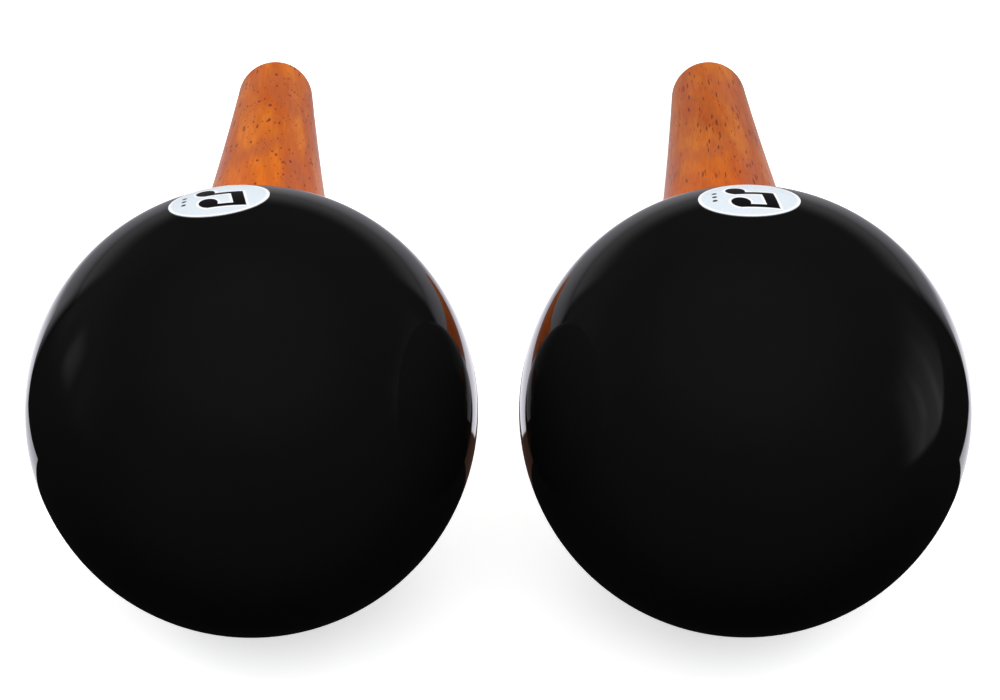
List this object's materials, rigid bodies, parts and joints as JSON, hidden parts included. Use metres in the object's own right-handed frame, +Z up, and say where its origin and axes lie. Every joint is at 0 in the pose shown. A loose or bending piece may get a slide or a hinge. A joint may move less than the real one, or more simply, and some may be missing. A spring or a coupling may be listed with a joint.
{
  "type": "pair of maracas",
  "caption": "Pair of maracas: hollow gloss black ball heads with loose steel shot inside, on turned wooden handles, a round sticker on each head.",
  "frame": {"origin": "On the table, at the middle of the pair's footprint.", "axes": "+X from the left maraca to the right one, +Y from the heads towards the handles' ends, +Z up."},
  "size_m": [0.209, 0.2518, 0.1001],
  "materials": {
    "gloss_black": "black lacquer on moulded fibreglass, mirror-like gloss",
    "bonding_strip": "bare resin-bonded glass fibre strip",
    "block_wood": "bare pale hardwood",
    "lacquered_wood": "turned orange-brown hardwood with dark open pores, clear gloss lacquer",
    "zinc_steel": "zinc-plated steel",
    "sticker": "round printed sticker with a clear gloss film",
    "shot_steel": "plain steel shot, dulled by wear"
  },
  "bodies": {
    "left_maraca": {"left_front_shell": "gloss_black", "left_rear_shell": "gloss_black", "left_joining_band": "bonding_strip", "left_neck_block": "block_wood", "left_handle": "lacquered_wood", "left_screw_washer": "zinc_steel", "left_handle_screw": "zinc_steel", "left_label": "sticker"},
    "left_shot_bed": {"left_shot_bed": "shot_steel"},
    "left_shot_thrown": {"left_shot_thrown": "shot_steel"},
    "left_shot_bouncing": {"left_shot_bouncing": "shot_steel"},
    "right_maraca": {"right_front_shell": "gloss_black", "right_rear_shell": "gloss_black", "right_joining_band": "bonding_strip", "right_neck_block": "block_wood", "right_handle": "lacquered_wood", "right_screw_washer": "zinc_steel", "right_handle_screw": "zinc_steel", "right_label": "sticker"},
    "right_shot_bed": {"right_shot_bed": "shot_steel"},
    "right_shot_thrown": {"right_shot_thrown": "shot_steel"},
    "right_shot_bouncing": {"right_shot_bouncing": "shot_steel"}
  },
  "joints": [
    {"name": "right_maraca_lift", "type": "slide", "parent": "left_maraca", "child": "right_maraca", "axis": [0, 0, 1], "range_m": [0, 0.15]},
    {"name": "left_shot_swirl", "type": "hinge", "parent": "left_maraca", "child": "left_shot_bed", "pos_m": [-0.0545, -0.07587, 0.05], "axis": [0, 0.9784, -0.2069], "continuous": true},
    {"name": "left_shot_throw", "type": "slide", "parent": "left_maraca", "child": "left_shot_thrown", "axis": [0, -0.9784, 0.2069], "range_m": [0, 0.024]},
    {"name": "left_shot_bounce", "type": "slide", "parent": "left_maraca", "child": "left_shot_bouncing", "axis": [0, 0.2069, 0.9784], "range_m": [0, 0.07]},
    {"name": "right_shot_swirl", "type": "hinge", "parent": "right_maraca", "child": "right_shot_bed", "pos_m": [0.0545, -0.07587, 0.05], "axis": [0, 0.9784, -0.2069], "continuous": true},
    {"name": "right_shot_throw", "type": "slide", "parent": "right_maraca", "child": "right_shot_thrown", "axis": [0, -0.9784, 0.2069], "range_m": [0, 0.024]},
    {"name": "right_shot_bounce", "type": "slide", "parent": "right_maraca", "child": "right_shot_bouncing", "axis": [0, 0.2069, 0.9784], "range_m": [0, 0.07]}
  ]
}
